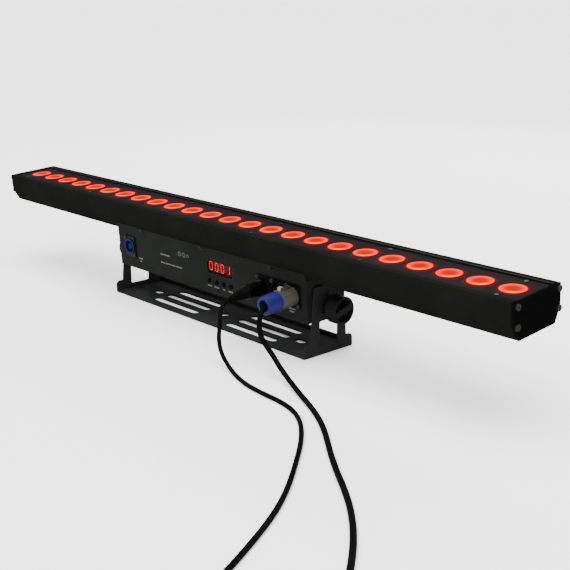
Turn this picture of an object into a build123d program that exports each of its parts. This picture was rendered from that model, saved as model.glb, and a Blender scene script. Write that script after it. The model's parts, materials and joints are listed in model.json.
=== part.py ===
from build123d import *
import math
import os

# LED strip batten on a tilting yoke. Millimetres, +Z up, X along the batten, Y towards its back.
# The origin is the centre hole of the yoke's base plate, on the underside that stands on the floor.
# "Head" sizes are in the head's own frame: X along, Y back, Z up from the lens plate's top face.

# --- LED row -----------------------------------------------------------------------------------
LED_COUNT = 24
LED_PITCH = 41.0
LENS_R = 16.3
LENS_RISE = 0.8
LENS_BOTTOM = -18.6
LENS_FOOT_R = 6.0
HOLDER_R = 18.5
BOARD_COUNT = 4
BOARD_WIDTH = 36.0
BOARD_THICK = 1.6
WEB_TOP = -24.0
WEB_THICK = 3.0

# --- batten housing ----------------------------------------------------------------------------
BATTEN_LENGTH = 1004.0
CAP_THICK = 3.0
GASKET_THICK = 1.0
TOP_HALF = 40.5
CREASE_HALF = 40.3
BOTTOM_HALF = 31.5
RAIL_TOP = 2.7
CREASE_Z = -22.5
BOTTOM_Z = -40.0
RAIL_INNER = 32.5
PLATE_THICK = 3.0
PLATE_HALF = 32.3
LEDGE_INNER = 21.5
LEDGE_THICK = 4.0
APERTURE_R = 16.5
PLATE_SCREW_X = (94.0, 282.0, 470.0)
PLATE_SCREW_Y = 26.0
CAP_SCREWS = ((36.3, -2.4), (36.2, -23.8))

# --- control box, in the head's frame ----------------------------------------------------------
BOX_HALF = 199.7
BOX_FRONT = -35.2
BOX_BACK = 30.0
BOX_BOTTOM = -95.5
SHEET = 1.5
BOX_SCREW_X = (-138.0, 0.0, 138.0)
SOCKET_Z = -62.5
POWER_IN_X = -170.0
DMX_IN_X = 122.9
DMX_OUT_X = 150.0
POWER_OUT_X = 177.0
FLANGE_THICK = 2.0
INLET_R = 11.4
INLET_BORE_R = 9.4
INLET_CORE_R = 4.2
INLET_RISE = 1.8
SOCKET_SCREW = (9.5, 12.0)
TAB_SPAN = (9.9, 15.2)
WINDOW_X = 35.2
WINDOW_Z = -57.3
WINDOW_SIZE = (51.8, 17.4)
DIGIT_CENTRE = 31.2
DIGIT_PITCH = 12.0
BUTTON_X = (12.2, 27.1, 42.0, 56.9)
BUTTON_Z = -77.5
BUTTON_R = 2.9
BOARD_FACE = -26.8

# --- tilt pivot and yoke -----------------------------------------------------------------------
TILT = 4.3
PIVOT_HEIGHT = 60.0
PIVOT_Y = -1.0
PIVOT_Z = -80.8
YOKE_HALF = 203.7
YOKE_DEPTH = 42.0
YOKE_SHEET = 2.5
ARM_TOP = 89.0
ARM_TOP_HALF = 25.2
LEG_FOOT_HALF = 30.6
STRIP_HEIGHT = 16.6
WINDOW_HALF = 16.3
WINDOW_LOW = 9.0
WINDOW_HIGH = 44.0
LIP_HEIGHT = 8.5
SLOT_X = 81.5
SLOT_LENGTH = 100.0
SLOT_WIDTH = 12.0
SLOT_ROW = 22.5
CENTRE_HOLE_R = 6.5
END_SLOT_X = 153.0
END_SLOT_LENGTH = 18.0
PIVOT_HOLE_R = 4.3
STUD_R = 4.0
INDEX_Z = 78.0
KNOB_R = 17.75
KNOB_THICK = 17.0
KNOB_FACE = 212.4
KNOB_BAR_ANGLE = 18.0
HUB_R = 10.0
KNOB_WASHER = 1.5
STUD_IN_KNOB = 8.0
RUNNING_GAP = 0.05

# --- leads -------------------------------------------------------------------------------------
DMX_DIA = 5.4
POWER_DIA = 6.4
LEAD_LENGTH = 1500.0
DMX_PLUG_R = 9.5
DMX_NOSE_R = 7.9
CONTACT_CIRCLE = 4.0
PIN_R = 1.1
PLUG_FACE = -37.3
NOSE_END = -24.0
DMX_BODY_END = -66.3
DMX_BOOT_LENGTH = 24.0
DMX_BOOT_DROOP = 4.0
DMX_BOOT_R = (7.8, 3.9)
POWER_PLUG_R = 11.8
POWER_NOSE_R = 9.6
POWER_GREY_END = -62.0
POWER_BLUE_R = 12.9
POWER_MOUTH_R = 11.7
POWER_BLUE_END = -84.5
POWER_BORE_R = 7.6
POWER_BORE_DEPTH = 14.0

# Routes of the two leads from plug to coil, in the part's own frame.
DMX_ROUTE = [
    (122.9, -90.25, 69.887),
    (122.9, -97.43, 68.839),
    (125.0, -105.9, 65.2),
    (129.6, -112.9, 58.4),
    (135.5, -118.1, 47.6),
    (139.0, -123.5, 34.2),
    (144.4, -126.6, 21.8),
    (154.2, -128.8, 11.5),
    (167.9, -132.1, 5.2),
    (184.1, -138.0, 2.7),
    (202.8, -145.2, 2.7),
    (225.3, -151.5, 2.7),
    (252.0, -154.5, 2.7),
    (283.0, -155.8, 2.7),
    (311.0, -162.0, 2.7),
    (336.0, -175.5, 2.7),
    (359.0, -195.0, 2.7),
    (381.0, -218.0, 2.7),
    (402.0, -243.0, 2.7),
    (424.0, -270.0, 2.7),
    (446.5, -300.0, 2.7),
    (467.0, -333.0, 2.7),
    (485.0, -369.0, 2.7),
    (501.6, -405.4, 2.7),
    (517.8, -444.1, 2.7),
    (531.8, -481.6, 2.7),
]
POWER_ROUTE = [
    (177.0, -70.7, 73.03),
    (177.0, -77.9, 72.49),
    (178.8, -87.1, 69.9),
    (183.0, -95.5, 64.0),
    (187.9, -101.8, 53.9),
    (193.8, -104.1, 42.2),
    (202.6, -102.6, 32.0),
    (213.8, -102.2, 22.9),
    (227.4, -105.5, 15.1),
    (243.5, -110.9, 10.1),
    (262.8, -118.2, 6.7),
    (284.1, -127.2, 4.2),
    (308.0, -137.6, 3.2),
    (334.0, -151.0, 3.2),
    (361.0, -167.5, 3.2),
    (388.0, -188.0, 3.2),
    (415.0, -210.0, 3.2),
    (443.0, -231.0, 3.2),
    (473.0, -251.5, 3.2),
    (504.0, -275.0, 3.2),
    (534.0, -303.0, 3.2),
    (562.0, -334.5, 3.2),
    (588.0, -369.0, 3.2),
    (611.7, -404.9, 3.2),
]
# Each coil: centre, radius of its middle turn, columns and layers of turns, where its tail leaves.
DMX_COIL = dict(centre=(564.7, -469.3), mid=32.4, columns=2, layers=3,
                tail=290.0, tail_z=9.6, tail_length=22.0, tie=60.0)
POWER_COIL = dict(centre=(641.4, -385.3), mid=32.4, columns=2, layers=3,
                  tail=345.0, tail_z=9.6, tail_length=47.0, tie=115.0)
FAR_BOOT_LENGTH = 26.0
TIE_WIDTH = 8.0
TIE_THICK = 1.0
FAR_POWER_Z = 13.0

HEAD = Pos(0, 0, PIVOT_HEIGHT) * Rot(TILT, 0, 0) * Pos(0, -PIVOT_Y, -PIVOT_Z)


# --- helpers -----------------------------------------------------------------------------------
def rod(radius, length, place):
    """A cylinder that starts at the place and runs along its Z axis."""
    return place * Cylinder(radius, length, align=(Align.CENTER, Align.CENTER, Align.MIN))


def cone(low_r, high_r, length, place):
    """A frustum that starts at the place and runs along its Z axis."""
    return place * Cone(low_r, high_r, length, align=(Align.CENTER, Align.CENTER, Align.MIN))


def toward(direction, x, y, z):
    """A place at a point, whose Z axis points along +X, -X, +Y or -Y."""
    turn = {"+x": (0, 90, 0), "-x": (0, -90, 0), "+y": (-90, 0, 0), "-y": (90, 0, 0)}[direction]
    return Pos(x, y, z) * Rot(*turn)


def block(low, high):
    """A box between two corners."""
    middle = [(a + b) / 2 for a, b in zip(low, high)]
    return Pos(*middle) * Box(*[b - a for a, b in zip(low, high)])


def side_prism(outline, x_low, x_high):
    """An outline of (y, z) points, run along X."""
    plane = Plane(origin=(x_low, 0, 0), x_dir=(0, 1, 0), z_dir=(1, 0, 0))
    return extrude(plane * make_face(Polyline(*outline, close=True)), amount=x_high - x_low)


def mirrored(points):
    """An outline given by its -Y half, from top to bottom, closed by the mirror image."""
    return list(points) + [(-y, z) for y, z in reversed(points)]


def group(solids):
    """Several separate solids kept together in one node."""
    return Compound(children=[solid for shape in solids for solid in shape.solids()])


def led_places():
    """The centre of each LED along X."""
    return [(i - (LED_COUNT - 1) / 2) * LED_PITCH for i in range(LED_COUNT)]


def pan_screw(place, head_r, head_h, shank_r, shank):
    """A pan-head screw with a cross recess: the head rises along the place's Z, the shank runs back."""
    recess = place * Pos(0, 0, head_h) * (Box(head_r, 0.8, 1.2) + Box(0.8, head_r, 1.2))
    return rod(head_r, head_h, place) + rod(shank_r, shank, place * Rot(180, 0, 0)) - recess


def save(node, shape):
    """One STEP file for each node."""
    os.makedirs("parts", exist_ok=True)
    export_step(shape, os.path.join("parts", node + ".step"))


def save_head(node, shape):
    """A node drawn in the head's frame, put where the head stands at rest."""
    save(node, HEAD * shape)


# --- batten housing ----------------------------------------------------------------------------
BATTEN_OUTLINE = mirrored([(-TOP_HALF, RAIL_TOP), (-CREASE_HALF, CREASE_Z), (-BOTTOM_HALF, BOTTOM_Z)])
HOUSING_HALF = BATTEN_LENGTH / 2 - CAP_THICK - GASKET_THICK
LEDGE_TOP = -PLATE_THICK
WEB_BOTTOM = WEB_TOP - WEB_THICK
FLOOR_TOP = BOTTOM_Z + 2.5
LEAD_PLACES = ((-128.0, 5.0), (-98.0, 5.0))
GROMMET_R = 6.0
BOX_REAR_SCREW_Y = 22.0


def flank(z):
    """The -Y face of the batten's lower flank at a height."""
    return -CREASE_HALF + (CREASE_Z - z) / (CREASE_Z - BOTTOM_Z) * (CREASE_HALF - BOTTOM_HALF)


FLANK_ANGLE = math.degrees(math.atan2(CREASE_HALF - BOTTOM_HALF, CREASE_Z - BOTTOM_Z))
FLANGE_SCREW_Z = -32.8


def flank_place(x):
    """A place on the lower flank whose Z axis points straight out of it."""
    return Pos(x, flank(FLANGE_SCREW_Z), FLANGE_SCREW_Z) * Rot(90 + FLANK_ANGLE, 0, 0)


def cap_screw_places(side):
    """The four screw places of one end, with their Z axis pointing outwards."""
    face = side * BATTEN_LENGTH / 2
    direction = "+x" if side > 0 else "-x"
    return [toward(direction, face, sign * y, z) for sign in (-1, 1) for y, z in CAP_SCREWS]


def plate_screw_places():
    """The lens plate's screws."""
    signs = (-1, 1)
    return [Pos(a * x, b * PLATE_SCREW_Y, 0) for x in PLATE_SCREW_X for a in signs for b in signs]


def housing_extrusion():
    half = HOUSING_HALF
    body = side_prism(BATTEN_OUTLINE, -half, half)
    channels = [
        [(-RAIL_INNER, RAIL_TOP + 1), (-RAIL_INNER, LEDGE_TOP)],
        [(-LEDGE_INNER, LEDGE_TOP + 1), (-LEDGE_INNER, LEDGE_TOP - LEDGE_THICK - 1)],
        [(-37.8, LEDGE_TOP - LEDGE_THICK), (-37.8, -19.0), (-31.5, -19.0), (-31.5, WEB_TOP)],
        [(-35.2, WEB_BOTTOM), (-30.2, FLOOR_TOP)],
    ]
    for channel in channels:
        body -= side_prism(mirrored(channel), -half - 1, half + 1)
    for side in (-1, 1):
        for place in cap_screw_places(side):
            body -= rod(1.7, 20, place * Rot(180, 0, 0))
    for place in plate_screw_places():
        body -= rod(1.3, 8, place * Rot(180, 0, 0))
    for x in BOX_SCREW_X:
        body -= rod(1.6, 8, flank_place(x) * Rot(180, 0, 0))
        body -= rod(1.6, 6, Pos(x, BOX_REAR_SCREW_Y, BOTTOM_Z - 1))
    for x, y in LEAD_PLACES:
        body -= rod(GROMMET_R, 4, Pos(x, y, BOTTOM_Z - 1))
        body -= rod(3.5, 5, Pos(x, y, WEB_BOTTOM - 1))
    return body


def lens_plate():
    plate = block((-HOUSING_HALF, -PLATE_HALF, -PLATE_THICK), (HOUSING_HALF, PLATE_HALF, 0))
    for x in led_places():
        plate -= rod(APERTURE_R, 5, Pos(x, 0, -4))
    for place in plate_screw_places():
        plate -= rod(1.6, 5, place * Pos(0, 0, -4))
    return plate


def lens_optic(x):
    """A collimator: a low dome on a rim, a cone below it and a pocket for the emitter."""
    rim = LENS_R
    sphere_r = (rim ** 2 + LENS_RISE ** 2) / (2 * LENS_RISE)
    foot = LENS_BOTTOM
    outline = [
        Line((0, foot + 4), (3.2, foot + 4)),
        Line((3.2, foot + 4), (3.2, foot)),
        Line((3.2, foot), (LENS_FOOT_R, foot)),
        Line((LENS_FOOT_R, foot), (15.5, LEDGE_TOP)),
        Line((15.5, LEDGE_TOP), (rim, LEDGE_TOP)),
        Line((rim, LEDGE_TOP), (rim, 0)),
        RadiusArc((rim, 0), (0, LENS_RISE), -sphere_r),
        Line((0, LENS_RISE), (0, foot + 4)),
    ]
    return Pos(x, 0, 0) * revolve(Plane.XZ * make_face(Curve() + outline), Axis.Z)


def lens_holder(x):
    """A black sleeve that stands on the board and carries the lens by its rim."""
    bottom = WEB_TOP + BOARD_THICK
    sleeve = rod(HOLDER_R, LEDGE_TOP - bottom, Pos(0, 0, bottom))
    sleeve -= cone(LENS_FOOT_R + 0.4, 15.7, LEDGE_TOP - LENS_BOTTOM, Pos(0, 0, LENS_BOTTOM))
    sleeve -= rod(LENS_FOOT_R + 0.4, 5, Pos(0, 0, bottom - 1))
    return Pos(x, 0, 0) * sleeve


def led_board(index):
    """One of four boards, six LEDs long."""
    pitch = LED_COUNT / BOARD_COUNT * LED_PITCH
    x = (index - (BOARD_COUNT - 1) / 2) * pitch
    half = pitch / 2 - 1
    side = BOARD_WIDTH / 2
    return block((x - half, -side, WEB_TOP), (x + half, side, WEB_TOP + BOARD_THICK))


def board_link(x):
    """A plug-in bridge between two boards."""
    top = WEB_TOP + BOARD_THICK
    return block((x - 6, 13, top), (x + 6, 17, top + 2))


def led_emitter(x):
    """A square package with a round silicone dome."""
    top = WEB_TOP + BOARD_THICK
    dome = Pos(0, 0, top + 1) * Sphere(2.2, arc_size1=0, align=(Align.CENTER, Align.CENTER, Align.MIN))
    return Pos(x, 0, 0) * (block((-2.5, -2.5, top), (2.5, 2.5, top + 1)) + dome)


def end_cap(side):
    face = side * BATTEN_LENGTH / 2
    low, high = sorted((face, face - side * CAP_THICK))
    plate = side_prism(BATTEN_OUTLINE, low, high)
    for place in cap_screw_places(side):
        plate -= rod(2.2, 8, place * Pos(0, 0, -6))
    outer = plate.faces().sort_by(Axis.X)[-1 if side > 0 else 0]
    return chamfer(outer.outer_wire().edges(), 0.4)


def end_gasket(side):
    inner = side * HOUSING_HALF
    low, high = min(inner, inner + side * GASKET_THICK), max(inner, inner + side * GASKET_THICK)
    ring = mirrored([(-39.9, 2.1), (-39.7, -22.3), (-31.2, -39.5)])
    window = mirrored([(-32.0, -6.0), (-32.0, -20.0), (-30.0, -37.0)])
    seal = side_prism(ring, low, high) - side_prism(window, low - 1, high + 1)
    for place in cap_screw_places(side):
        seal -= rod(2.2, 8, place * Pos(0, 0, -6))
    return seal


def end_cap_screws():
    places = cap_screw_places(-1) + cap_screw_places(1)
    return group(pan_screw(place, 3.6, 2.2, 1.65, 16) for place in places)


# --- control box -------------------------------------------------------------------------------
SOCKET_X = (POWER_IN_X, DMX_IN_X, DMX_OUT_X, POWER_OUT_X)
SOCKET_BODY_R = 11.8
SOCKET_BACK = -12.0
COVER_FACE = BOX_BACK - SHEET
RETURN_FACE = COVER_FACE - SHEET
COVER_SCREWS = [(x, z) for x in (-193.0, -64.0, 64.0, 193.0) for z in (-46.5, -90.0)]


def socket_screw_places():
    """Two screws at opposite corners of each socket's flange."""
    dx, dz = SOCKET_SCREW
    y = BOX_FRONT - FLANGE_THICK
    return [toward("-y", x + s * dx, y, SOCKET_Z - s * dz) for x in SOCKET_X for s in (-1, 1)]


def box_shell():
    end, back, roof, floor = BOX_HALF, COVER_FACE, BOTTOM_Z, BOX_BOTTOM
    inner_end = end - SHEET
    front_inner = BOX_FRONT + SHEET
    shell = block((-end, BOX_FRONT, floor), (end, back, roof))
    shell = fillet(shell.edges().filter_by(Axis.X).group_by(Axis.Z)[0].sort_by(Axis.Y)[0], 1.2)
    shell -= block((-inner_end, front_inner, floor + SHEET), (inner_end, back + 1, roof + 1))
    lean = math.radians(FLANK_ANGLE)
    top_z = -30.55
    bend_z = CREASE_Z - (front_inner + CREASE_HALF) / math.tan(lean)
    out_y, out_z = flank(top_z) - SHEET * math.cos(lean), top_z - SHEET * math.sin(lean)
    flange = [
        (flank(top_z), top_z),
        (front_inner, bend_z),
        (front_inner, roof - 1),
        (BOX_FRONT, roof - 1),
        (BOX_FRONT, out_z - (BOX_FRONT - out_y) / math.tan(lean)),
        (out_y, out_z),
    ]
    shell += side_prism(flange, -end, end)
    shell += block((-inner_end, 14.0, roof - SHEET), (inner_end, RETURN_FACE, roof))
    shell += block((-inner_end, RETURN_FACE, roof - 12), (inner_end, back, roof))
    shell += block((-inner_end, RETURN_FACE, floor), (inner_end, back, floor + 11))
    for side in (-1, 1):
        edge = sorted((side * inner_end, side * (inner_end - 12)))
        shell += block((edge[0], RETURN_FACE, floor), (edge[1], back, roof))
        shell -= rod(8.1, 6, toward("+x", side * end - 3, PIVOT_Y, PIVOT_Z))
    for x in SOCKET_X:
        shell -= rod(SOCKET_BODY_R + 0.2, 6, toward("+y", x, BOX_FRONT - 2, SOCKET_Z))
    for place in socket_screw_places():
        shell -= rod(1.3, 6, place * Rot(180, 0, 0))
    for x in BUTTON_X:
        shell -= rod(BUTTON_R + 0.2, 6, toward("+y", x, BOX_FRONT - 2, BUTTON_Z))
    tab_low, tab_high = TAB_SPAN
    shell -= block((DMX_OUT_X - 4.3, BOX_FRONT - 1, SOCKET_Z + tab_low),
                   (DMX_OUT_X + 4.3, BOX_FRONT + 3, SOCKET_Z + tab_high + 0.3))
    width, height = WINDOW_SIZE
    shell -= Pos(WINDOW_X, BOX_FRONT, WINDOW_Z) * Box(width, 6, height)
    for x in BOX_SCREW_X:
        shell -= rod(1.9, 8, flank_place(x) * Pos(0, 0, -4))
        shell -= rod(1.9, 5, Pos(x, BOX_REAR_SCREW_Y, roof - 3))
    for x, z in COVER_SCREWS:
        shell -= rod(1.3, 5, toward("+y", x, RETURN_FACE - 1, z))
    return shell


def rear_cover():
    plate = block((-BOX_HALF, COVER_FACE, BOX_BOTTOM), (BOX_HALF, BOX_BACK, BOTTOM_Z - 0.3))
    for x, z in COVER_SCREWS:
        plate -= rod(1.7, 5, toward("+y", x, COVER_FACE - 1, z))
    for x in range(-150, -20, 12):
        plate -= Pos(x, BOX_BACK, -68) * Box(4, 8, 26)
    return plate


def rear_cover_screws():
    places = [toward("+y", x, BOX_BACK, z) for x, z in COVER_SCREWS]
    return group(pan_screw(place, 2.9, 1.8, 1.25, 5) for place in places)


def box_mount_screws():
    front = [pan_screw(flank_place(x) * Pos(0, 0, SHEET), 2.8, 1.8, 1.55, 7) for x in BOX_SCREW_X]
    below = [toward("+y", x, BOX_REAR_SCREW_Y, BOTTOM_Z - SHEET) * Rot(-90, 0, 0) for x in BOX_SCREW_X]
    return group(front + [pan_screw(place, 3.4, 2.0, 1.55, 4.2) for place in below])


def display_window():
    """A clear pane that fills the opening, with a rim behind the wall."""
    width, height = WINDOW_SIZE
    inner = BOX_FRONT + SHEET
    pane = block((-width / 2, BOX_FRONT - 0.3, -height / 2), (width / 2, inner, height / 2))
    pane = fillet(pane.edges().filter_by(Axis.Y), 0.8)
    rim = block((-width / 2 - 2, inner, -height / 2 - 2), (width / 2 + 2, inner + 1, height / 2 + 2))
    return Pos(WINDOW_X, 0, WINDOW_Z) * (pane + rim)


def display_module():
    """A four-digit display on the control board; each digit's seven segments are raised."""
    back, face = BOARD_FACE - BOARD_THICK, -32.2
    module = block((WINDOW_X - 25.1, face, WINDOW_Z - 9.5), (WINDOW_X + 25.1, back, WINDOW_Z + 9.5))
    for digit in range(4):
        x = DIGIT_CENTRE + (digit - 1.5) * DIGIT_PITCH
        module -= Pos(x, face, WINDOW_Z) * Box(DIGIT_PITCH - 1.8, 0.6, 15.6)
    return module


def button(x):
    cap = rod(BUTTON_R, 5.1, toward("-y", x, -32.7, BUTTON_Z))
    cap = fillet(cap.edges().sort_by(Axis.Y)[0], 0.7)
    return cap + rod(BUTTON_R + 1, 0.8, toward("-y", x, -32.7, BUTTON_Z))


def button_switch(x):
    back = BOARD_FACE - BOARD_THICK
    body = block((x - 3, back - 2.4, BUTTON_Z - 3), (x + 3, back, BUTTON_Z + 3))
    return body + rod(1.6, 3.2, toward("-y", x, back, BUTTON_Z))


BOARD_CORNERS = [(x, z) for x in (-8.0, 78.0) for z in (-49.0, -88.0)]


def control_board():
    board = block((-13, BOARD_FACE - BOARD_THICK, -92), (84, BOARD_FACE, -45))
    for x, z in BOARD_CORNERS:
        board -= rod(1.6, 5, toward("+y", x, BOARD_FACE - 3, z))
    chip = block((20, BOARD_FACE, -70), (34, BOARD_FACE + 2.4, -60))
    header = block((40, BOARD_FACE, -88), (74, BOARD_FACE + 8, -80))
    return board + chip + header


def board_standoffs():
    """Threaded posts on the front wall, with the screws that hold the board against them."""
    inner, back = BOX_FRONT + SHEET, BOARD_FACE - BOARD_THICK
    posts = []
    for x, z in BOARD_CORNERS:
        post = rod(2.6, back - inner, toward("+y", x, inner, z))
        posts.append(post + pan_screw(toward("+y", x, BOARD_FACE, z), 2.6, 1.6, 1.45, 3))
    return group(posts)


def power_supply():
    low, high = (-150, -14, BOX_BOTTOM + SHEET), (-22, 24, -61)
    case = block(low, high)
    for x in range(-140, -28, 8):
        case -= Pos(x, 5, high[2]) * Box(3, 26, 2)
    strip = block((low[0] + 4, low[1] - 8, -84), (high[0] - 60, low[1], -72))
    for x in range(-140, -84, 8):
        strip -= rod(2.2, 3, toward("+y", x, low[1] - 8.5, -76))
    return case + strip


def wire_grommet(x, y):
    ring = rod(GROMMET_R, 2.5, Pos(x, y, BOTTOM_Z))
    ring += rod(GROMMET_R + 2, 1.3, Pos(x, y, BOTTOM_Z - 1.3))
    ring += rod(GROMMET_R + 2, 1.2, Pos(x, y, FLOOR_TOP))
    return ring - rod(2.6, 12, Pos(x, y, BOTTOM_Z - 5))


def led_lead(x, y):
    """The supply pair that climbs from the power supply to the underside of the boards."""
    return rod(2.4, WEB_TOP + 61, Pos(x, y, -61))


def mains_leads():
    """From the mains inlet to the power supply, and from there on to the mains outlet."""
    back = SOCKET_BACK + 4
    inlet = [(POWER_IN_X, back, SOCKET_Z), (POWER_IN_X, 8, SOCKET_Z), (-161, 14, -72), (-150, 14, -72)]
    outlet = [(-22, 12, -84), (128, 12, -84), (POWER_OUT_X, 12, SOCKET_Z), (POWER_OUT_X, back, SOCKET_Z)]
    return group([tube(inlet, 6.0, [5.0, 5.0]), tube(outlet, 6.0, [18.0, 8.0])])


# --- sockets -----------------------------------------------------------------------------------
def socket_flange(x):
    """A D-size flange with two screw holes at opposite corners."""
    plate = block((-13, BOX_FRONT - FLANGE_THICK, -15.5), (13, BOX_FRONT, 15.5))
    plate = fillet(plate.edges().filter_by(Axis.Y), 2.0)
    plate = Pos(x, 0, SOCKET_Z) * plate
    for place in socket_screw_places():
        if abs(place.position.X - x) < 13:
            plate -= rod(1.7, 6, place * Pos(0, 0, 1) * Rot(180, 0, 0))
    return plate


def socket_body(x):
    """The round body through the wall, with the terminals behind it."""
    body = rod(SOCKET_BODY_R, SOCKET_BACK - BOX_FRONT, toward("+y", x, BOX_FRONT, SOCKET_Z))
    return body + block((x - 6, SOCKET_BACK, SOCKET_Z - 6), (x + 6, SOCKET_BACK + 4, SOCKET_Z + 6))


def contact_offsets():
    """Three contacts on a circle, one at its foot: their places round the plug's axis."""
    angles = [math.radians(a) for a in (-90, 30, 150)]
    return [(CONTACT_CIRCLE * math.cos(a), CONTACT_CIRCLE * math.sin(a)) for a in angles]


def power_in_socket():
    face = BOX_FRONT - FLANGE_THICK
    x = POWER_IN_X
    shape = socket_flange(x) + socket_body(x)
    shape += rod(INLET_R, INLET_RISE, toward("-y", x, face, SOCKET_Z))
    shape -= rod(INLET_BORE_R, 16 + INLET_RISE, toward("+y", x, face - INLET_RISE, SOCKET_Z))
    core = rod(INLET_CORE_R, 16.5, toward("-y", x, face + 16.5, SOCKET_Z))
    core -= block((x - 0.8, face - 1, SOCKET_Z - 2.3), (x + 0.8, face + 8, SOCKET_Z + 2.3))
    key_z = SOCKET_Z + INLET_BORE_R
    key = block((x - 1.6, face - 0.6, key_z - 1.8), (x + 1.6, face + 16.4, key_z + 0.6))
    return shape + core + key


def dmx_in_socket():
    """A plug-side socket: a deep bore with three pins."""
    x = DMX_IN_X
    shape = socket_flange(x) + socket_body(x)
    shape -= rod(DMX_NOSE_R + 0.3, 17.2, toward("+y", x, BOX_FRONT - FLANGE_THICK - 1, SOCKET_Z))
    for dx, dz in contact_offsets():
        shape += rod(PIN_R, 12, toward("-y", x + dx, NOSE_END + 3, SOCKET_Z + dz))
    return shape


def dmx_out_socket():
    """A socket with a round insert, three contact holes and a notch for its release tab."""
    x = DMX_OUT_X
    face = BOX_FRONT - FLANGE_THICK
    shape = socket_flange(x) + socket_body(x) + rod(11.6, 1.2, toward("-y", x, face, SOCKET_Z))
    shape -= rod(9.7, 16, toward("+y", x, face - 1.5, SOCKET_Z))
    shape += rod(8.0, 15.4, toward("-y", x, face + 14.8, SOCKET_Z))
    for dx, dz in contact_offsets():
        shape -= rod(PIN_R + 0.3, 12, toward("+y", x + dx, face - 1, SOCKET_Z + dz))
    tab_z = SOCKET_Z + 11.0
    return shape - block((x - 4.2, face - 2, tab_z - 1.6), (x + 4.2, face + 4, tab_z + 5))


def dmx_release_tab():
    """A thumb tab over the insert that is pressed to let a plug go."""
    x, face = DMX_OUT_X, BOX_FRONT - FLANGE_THICK
    low, high = SOCKET_Z + TAB_SPAN[0], SOCKET_Z + TAB_SPAN[1]
    tab = block((x - 4.0, face - 1.6, low), (x + 4.0, face + 1.9, high))
    return fillet(tab.edges().filter_by(Axis.Y), 0.8)


def power_out_socket():
    x = POWER_OUT_X
    shape = socket_flange(x) + socket_body(x)
    shape -= rod(POWER_NOSE_R + 0.3, 17.2, toward("+y", x, BOX_FRONT - FLANGE_THICK - 1, SOCKET_Z))
    return shape


def socket_screws():
    return group(pan_screw(place, 2.7, 1.5, 1.25, 6) for place in socket_screw_places())


# --- tilt pivot --------------------------------------------------------------------------------
def pivot_insert(side):
    """A threaded boss on a plate inside the box's end."""
    inner = BOX_HALF - SHEET
    place = toward("+x" if side > 0 else "-x", side * (inner - 15), PIVOT_Y, PIVOT_Z)
    boss = rod(8.0, 15 + SHEET, place)
    plate = sorted((side * (inner - 3), side * inner))
    boss += block((plate[0], PIVOT_Y - 20, PIVOT_Z - 13), (plate[1], PIVOT_Y + 20, PIVOT_Z + 13))
    return boss - rod(STUD_R + RUNNING_GAP, 30, place * Pos(0, 0, -5))


def friction_washer(side):
    place = toward("+x" if side > 0 else "-x", side * (BOX_HALF + RUNNING_GAP), PIVOT_Y, PIVOT_Z)
    return rod(14.0, 1.4, place) - rod(PIVOT_HOLE_R, 3, place * Pos(0, 0, -1))


def yoke_face(side):
    """One upright end of the yoke: a low strip, an arm that narrows upwards and a window."""
    low, high = sorted((side * YOKE_HALF, side * (YOKE_HALF - YOKE_SHEET)))
    strip = side_prism([(-YOKE_DEPTH, 0), (YOKE_DEPTH, 0), (YOKE_DEPTH, STRIP_HEIGHT),
                        (-YOKE_DEPTH, STRIP_HEIGHT)], low, high)
    strip = fillet(strip.edges().filter_by(Axis.X).group_by(Axis.Z)[-1], 5.5)
    foot, top = LEG_FOOT_HALF, ARM_TOP_HALF
    outline = [(-foot, 5), (foot, 5), (foot, 17), (top, ARM_TOP), (-top, ARM_TOP), (-foot, 17)]
    arm = side_prism(outline, low, high)
    arm = fillet(arm.edges().filter_by(Axis.X).group_by(Axis.Z)[-1], 4.0)
    window = block((low - 1, -WINDOW_HALF, WINDOW_LOW), (high + 1, WINDOW_HALF, WINDOW_HIGH))
    window = fillet(window.edges().filter_by(Axis.X), 3.0)
    face = strip + arm - window
    face -= rod(PIVOT_HOLE_R, 6, toward("+x", low - 1, 0, PIVOT_HEIGHT))
    return face - rod(2.05, 6, toward("+x", low - 1, 0, INDEX_Z))


def yoke_bracket():
    half = YOKE_HALF
    shape = block((-half, -YOKE_DEPTH, 0), (half, YOKE_DEPTH, YOKE_SHEET))
    shape += block((-half, YOKE_DEPTH - YOKE_SHEET, 0), (half, YOKE_DEPTH, LIP_HEIGHT))
    shape += yoke_face(-1) + yoke_face(1)
    shape -= rod(CENTRE_HOLE_R, 5, Pos(0, 0, -1))
    for side in (-1, 1):
        for row in (-SLOT_ROW, 0, SLOT_ROW):
            slot = extrude(SlotOverall(SLOT_LENGTH, SLOT_WIDTH), amount=5)
            shape -= Pos(side * SLOT_X, row, -1) * slot
        hole = extrude(SlotOverall(END_SLOT_LENGTH, SLOT_WIDTH), amount=5)
        shape -= Pos(side * END_SLOT_X, 0, -1) * hole
    return shape


def index_screw(side):
    place = toward("+x" if side > 0 else "-x", side * YOKE_HALF, 0, INDEX_Z)
    return pan_screw(place, 3.0, 1.8, 2.0, YOKE_SHEET)


def knob_washer(side):
    place = toward("+x" if side > 0 else "-x", side * YOKE_HALF, 0, PIVOT_HEIGHT)
    return rod(12.0, KNOB_WASHER, place) - rod(PIVOT_HOLE_R, 4, place * Pos(0, 0, -1))


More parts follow.
